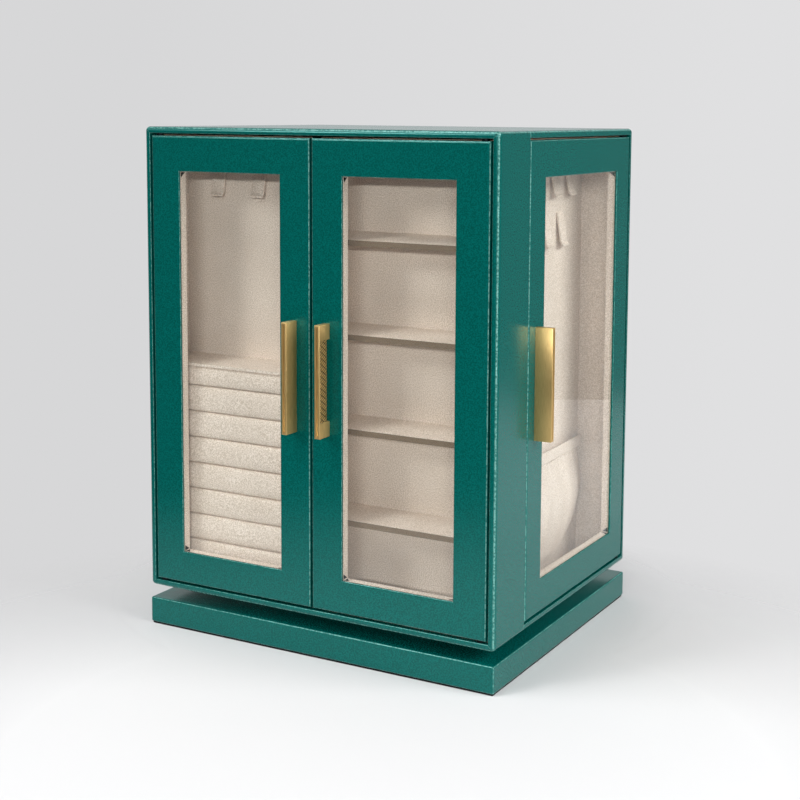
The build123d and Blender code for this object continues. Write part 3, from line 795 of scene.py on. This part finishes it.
def pocket_point(share, up, low, high, reach):
    """A point of the gathered cloth: along the bay and up the bag as shares, with how far it stands out."""
    level = low.z + (high.z - low.z) * up
    height = min(level - low.z, POCKET_CORNER)
    corner = POCKET_CORNER - math.sqrt(POCKET_CORNER ** 2 - (POCKET_CORNER - height) ** 2)
    shoulder = ease((up - POCKET_BELLY_SHARE) / (1 - POCKET_BELLY_SHARE))
    inset = corner + POCKET_END_DRAW * shoulder
    y = low.y + inset + (high.y - low.y - 2 * inset) * share
    belly = math.sin(math.pi / 2 * min(up / POCKET_BELLY_SHARE, 1.0)) ** 0.85
    out = POCKET_THROAT + (reach - POCKET_THROAT) * (1 - shoulder)
    out *= (0.1 + 0.9 * belly) * drawn_to_wall(share)
    lean = POCKET_LEAN * noise.noise(Vector((y * 18, level * 9, 4.0)))
    gathered = ease((up - PLEAT_START_SHARE) / (1 - PLEAT_START_SHARE))
    pleats = PLEAT_HEIGHT * wave(y + lean / 3, PLEAT_WIDTH, 1.5) * gathered
    folds = FOLD_HEIGHT * wave(y + lean, FOLD_WIDTH, 6.5) * belly
    return level, y, out + (pleats + folds) * drawn_to_wall(share)


def make_hem(side, sign):
    """The hem over the elastic: a flat tube of cloth, ruffled by the pull of the elastic."""
    low, high = (Vector(corner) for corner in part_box(f"{side}_pocket_band"))
    middle = (low + high) / 2
    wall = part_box(f"{side}_pocket")[0 if sign > 0 else 1][0]
    half_thickness, half_height = (high.x - low.x) / 2, (high.z - low.z) / 2
    points = []
    for column in range(HEM_COLUMNS + 1):
        share = column / HEM_COLUMNS
        y = low.y + (high.y - low.y) * share
        stand_off = half_thickness + (abs(middle.x - wall) - half_thickness) * drawn_to_wall(share)
        ruffle = RUFFLE_HEIGHT * wave(y, RUFFLE_WIDTH, 9.5)
        edge = HEM_EDGE * wave(y + HEM_EDGE_SHIFT, RUFFLE_WIDTH, 3.5)
        for step in range(HEM_RING):
            angle = 2 * math.pi * step / HEM_RING
            up = raised(math.sin(angle), HEM_ROUNDNESS)
            out = raised(math.cos(angle), HEM_ROUNDNESS)
            thickness = half_thickness * out * (0.75 + 0.25 * abs(up))
            x = wall + sign * max(stand_off + ruffle * (0.8 - 0.2 * up), half_thickness) + thickness
            points.append((x, y, middle.z + (half_height - HEM_EDGE) * up + edge * max(up, 0)))
    hem = tube_piece(f"{side}_ruffled_hem", points, HEM_RING)
    smooth(hem, 60)
    dress(hem, "elastic_band", "case", f"{side}_pocket_band")
    return hem


def make_pockets():
    for side, sign in zip(SIDES, (-1, 1)):
        low, high = (Vector(corner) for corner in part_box(f"{side}_pocket"))
        wall = low.x if sign > 0 else high.x
        reach = high.x - low.x - FOLD_HEIGHT - POCKET_CLOTH
        points = []
        for row in range(POCKET_ROWS + 1):
            for column in range(POCKET_COLUMNS + 1):
                level, y, out = pocket_point(column / POCKET_COLUMNS, row / POCKET_ROWS, low, high, reach)
                points.append((wall + sign * max(out, POCKET_CLOTH * 1.2), y, level))
        pocket = grid_piece(f"{side}_gathered_pocket", points, POCKET_COLUMNS, POCKET_ROWS)
        finish_with(pocket, "SOLIDIFY", thickness=POCKET_CLOTH, offset=-sign)
        smooth(pocket, 60)
        dress(pocket, "velvet_flock", "case", f"{side}_pocket")
        hem = make_hem(side, sign)


# Hooks and window corners


def make_hooks(node, name):
    """The node's own shape with the rounded edges that flock gives a card, standing for the node."""
    hooks = bpy.data.objects.new(name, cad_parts[node].data.copy())
    hooks.data.name = name
    bpy.context.scene.collection.objects.link(hooks)
    edit(hooks)
    bpy.ops.mesh.select_all(action="SELECT")
    bpy.ops.mesh.remove_doubles(threshold=MM / 1000)
    bpy.ops.mesh.dissolve_limited(angle_limit=math.radians(1))
    leave()
    soften(hooks, FLOCK_EDGE, 50)
    smooth(hooks, 40)
    dress(hooks, "velvet_flock", "case", node)


def make_corner_pattern(depth):
    """A right-angled flap of bare card: its square corner at the origin, the depth along -y, its width
    along x and its thickness along z."""
    flap = add_block("bare_corner_pattern", (0, -depth, 0), (BARE_CORNER, 0, BARE_CORNER_THICKNESS))
    edit(flap)
    bpy.ops.mesh.select_all(action="SELECT")
    bpy.ops.mesh.bisect(
        plane_co=(BARE_CORNER, 0, 0), plane_no=Vector((depth, -BARE_CORNER, 0)).normalized(),
        clear_outer=True, use_fill=True,
    )
    leave()
    return flap


def make_bare_corners():
    """Where the flocked cloth is slit to be folded through a window, the black card shows as a small
    triangle on each jamb, widest at the glass."""
    out = Vector((0, 1, 0))
    for door in DOORS:
        glass_low, glass_high = door_box(door, "glass")
        depth = glass_low.y - door_box(door, "velvet")[0].y
        flap = make_corner_pattern(depth)
        flaps = []
        for u, into_u in ((glass_low.x + GLASS_LIP, 1), (glass_high.x - GLASS_LIP, -1)):
            for w, into_w in ((glass_low.z + GLASS_LIP, 1), (glass_high.z - GLASS_LIP, -1)):
                corner = door_turn(door).to_4x4() @ Matrix.Translation((u, glass_low.y, w))
                along_u, along_w = Vector((into_u, 0, 0)), Vector((0, 0, into_w))
                for axes in ((along_u, out, along_w), (along_w, out, along_u)):
                    turn = Matrix(axes).transposed().to_4x4()
                    flaps.append(placed_copy(flap, "flap", corner @ turn))
        bpy.data.objects.remove(flap)
        corners = join(flaps, f"{door}_bare_corners")
        dress(corners, "inner_board", f"{door}_door")


# Stage, light and camera


def seen_directly(material):
    """1 for what the eye sees by itself or through glass, 0 for light and reflections."""
    rays = add_node(material, "LightPath", {}).node.outputs
    return add_node(
        material, "Math", {0: rays["Is Camera Ray"], 1: rays["Is Transmission Ray"]},
        operation="MAXIMUM",
    )


def set_world():
    """A plain grey backdrop to the eye, a little lighter towards the right of the photograph, and in
    reflections where it hangs behind the cabinet. What lights the cabinet is a dark room with that pale
    wall and a dimmer one on the right."""
    world = bpy.data.worlds.new("studio")
    bpy.context.scene.world = world
    world.use_nodes = True
    world.node_tree.nodes.clear()
    direction = add_node(world, "TexCoord", {}, "Generated")
    to_the_right = (math.cos(VIEW_AZIMUTH), math.sin(VIEW_AZIMUTH), 0)
    pale, dim, rightwards = (
        add_node(world, "VectorMath", {0: direction, 1: way}, "Value", operation="DOT_PRODUCT")
        for way in (PALE_WALL, DIM_WALL, to_the_right)
    )
    grey = mottled(world, rightwards, -0.2, 0.2, "D7D7D8", "E0E0E1")
    paper = add_node(world, "Background", {"Color": grey})
    wall_edge = {"From Min": 0.5, "From Max": 0.85}
    pale_light = add_node(world, "MapRange", {"Value": pale, **wall_edge, "To Min": 0.04, "To Max": 0.8})
    dim_light = add_node(world, "MapRange", {"Value": dim, **wall_edge, "To Min": 0.04, "To Max": 0.16})
    strength = add_node(world, "Math", {0: pale_light, 1: dim_light}, operation="MAXIMUM")
    room = add_node(world, "Background", {"Color": linear("FFFFFF"), "Strength": strength})
    glossy = add_node(world, "LightPath", {}, "Is Glossy Ray")
    hung = add_node(world, "MapRange", {"Value": pale, **wall_edge})
    reflected = add_node(world, "Math", {0: glossy, 1: hung}, operation="MULTIPLY")
    shown = add_node(world, "Math", {0: seen_directly(world), 1: reflected}, operation="MAXIMUM")
    mix = add_node(world, "MixShader", {0: shown, 1: room, 2: paper})
    add_node(world, "OutputWorld", {"Surface": mix})


def add_floor():
    """A table covered with pale paper, which fades into the backdrop to the eye soon behind the cabinet.
    Light and reflections have the whole table, dimmer towards its front."""
    deselect()
    bpy.ops.mesh.primitive_circle_add(
        vertices=96, radius=1.5 * TABLE_RADIUS, location=TABLE_MIDDLE, fill_type="NGON"
    )
    floor = settle("floor")
    material = new_material("pale_paper")
    at = add_node(material, "TexCoord", {}, "Object")
    behind = add_node(material, "VectorMath", {0: at, 1: DIM_WALL}, "Value", operation="DOT_PRODUCT")
    reach = add_node(material, "VectorMath", {0: at, 1: TABLE_MIDDLE}, "Value", operation="DISTANCE")
    before = add_node(material, "VectorMath", {0: at, 1: PAPER_MIDDLE}, "Value", operation="DISTANCE")
    away = add_node(material, "VectorMath", {0: at}, "Value", operation="LENGTH")
    ranges = {
        "lit": (behind, -0.55, -0.25, 0.0, 1.0),
        "table": (reach, TABLE_RADIUS, TABLE_RADIUS + 5 * MM, 1.0, 0.0),
        "paper": (before, 0.22, 0.46, 1.0, 0.0),
        "foot": (away, 0.17, 0.25, 1.0, 0.0),
    }
    shares = {
        name: add_node(material, "MapRange", dict(enumerate(values))) for name, values in ranges.items()
    }
    lit = add_node(material, "Math", {0: shares["lit"], 1: shares["table"]}, operation="MULTIPLY")
    seen = add_node(material, "Math", {0: shares["paper"], 1: shares["foot"]}, operation="MAXIMUM")
    cover = add_node(material, "Mix", {0: seen_directly(material), 2: lit, 3: seen})
    paper = add_node(material, "BsdfDiffuse", {"Color": linear("DEDEDF")})
    clear = add_node(material, "BsdfTransparent", {})
    mix = add_node(material, "MixShader", {0: cover, 1: clear, 2: paper})
    add_node(material, "OutputMaterial", {"Surface": mix})
    floor.data.materials.append(material)


def looking_from(azimuth, elevation):
    """The direction from the cabinet to an eye or a lamp."""
    level = math.cos(elevation)
    return Vector((math.sin(azimuth) * level, -math.cos(azimuth) * level, math.sin(elevation)))


def add_lamp(name, azimuth, elevation, distance, width, height, power):
    away = looking_from(math.radians(azimuth), math.radians(elevation))
    light = bpy.data.lights.new(name, "AREA")
    light.shape, light.size, light.size_y, light.energy = "RECTANGLE", width, height, power
    lamp = bpy.data.objects.new(name, light)
    lamp.location = LAMP_AIM + away * distance
    lamp.rotation_euler = away.to_track_quat("Z", "Y").to_euler()
    bpy.context.scene.collection.objects.link(lamp)


def add_camera():
    back = looking_from(VIEW_AZIMUTH, VIEW_ELEVATION)
    right = Vector((0, 0, 1)).cross(back).normalized()
    up = back.cross(right)
    turned_right = math.cos(VIEW_ROLL) * right + math.sin(VIEW_ROLL) * up
    turned_up = math.cos(VIEW_ROLL) * up - math.sin(VIEW_ROLL) * right
    camera = bpy.data.cameras.new("camera")
    camera.lens, camera.sensor_width = VIEW_LENS, VIEW_SENSOR
    camera.shift_x, camera.shift_y = VIEW_SHIFT
    viewer = bpy.data.objects.new("camera", camera)
    turn = Matrix((turned_right, turned_up, back)).transposed().to_4x4()
    viewer.matrix_world = Matrix.Translation(VIEWPOINT) @ turn
    bpy.context.scene.collection.objects.link(viewer)
    bpy.context.scene.camera = viewer


deselect()
dress_nodes()
make_pulls()
make_ring_rolls()
make_pockets()
make_hooks("front_bay_hooks", "front_bay_velvet_hooks")
for side in SIDES:
    make_hooks(f"{side}_side_hooks", f"{side}_velvet_hooks")
make_bare_corners()
set_world()
add_floor()
for name, values in LAMPS.items():
    add_lamp(name, *values)
add_camera()
bpy.context.scene.view_settings.view_transform = "Standard"
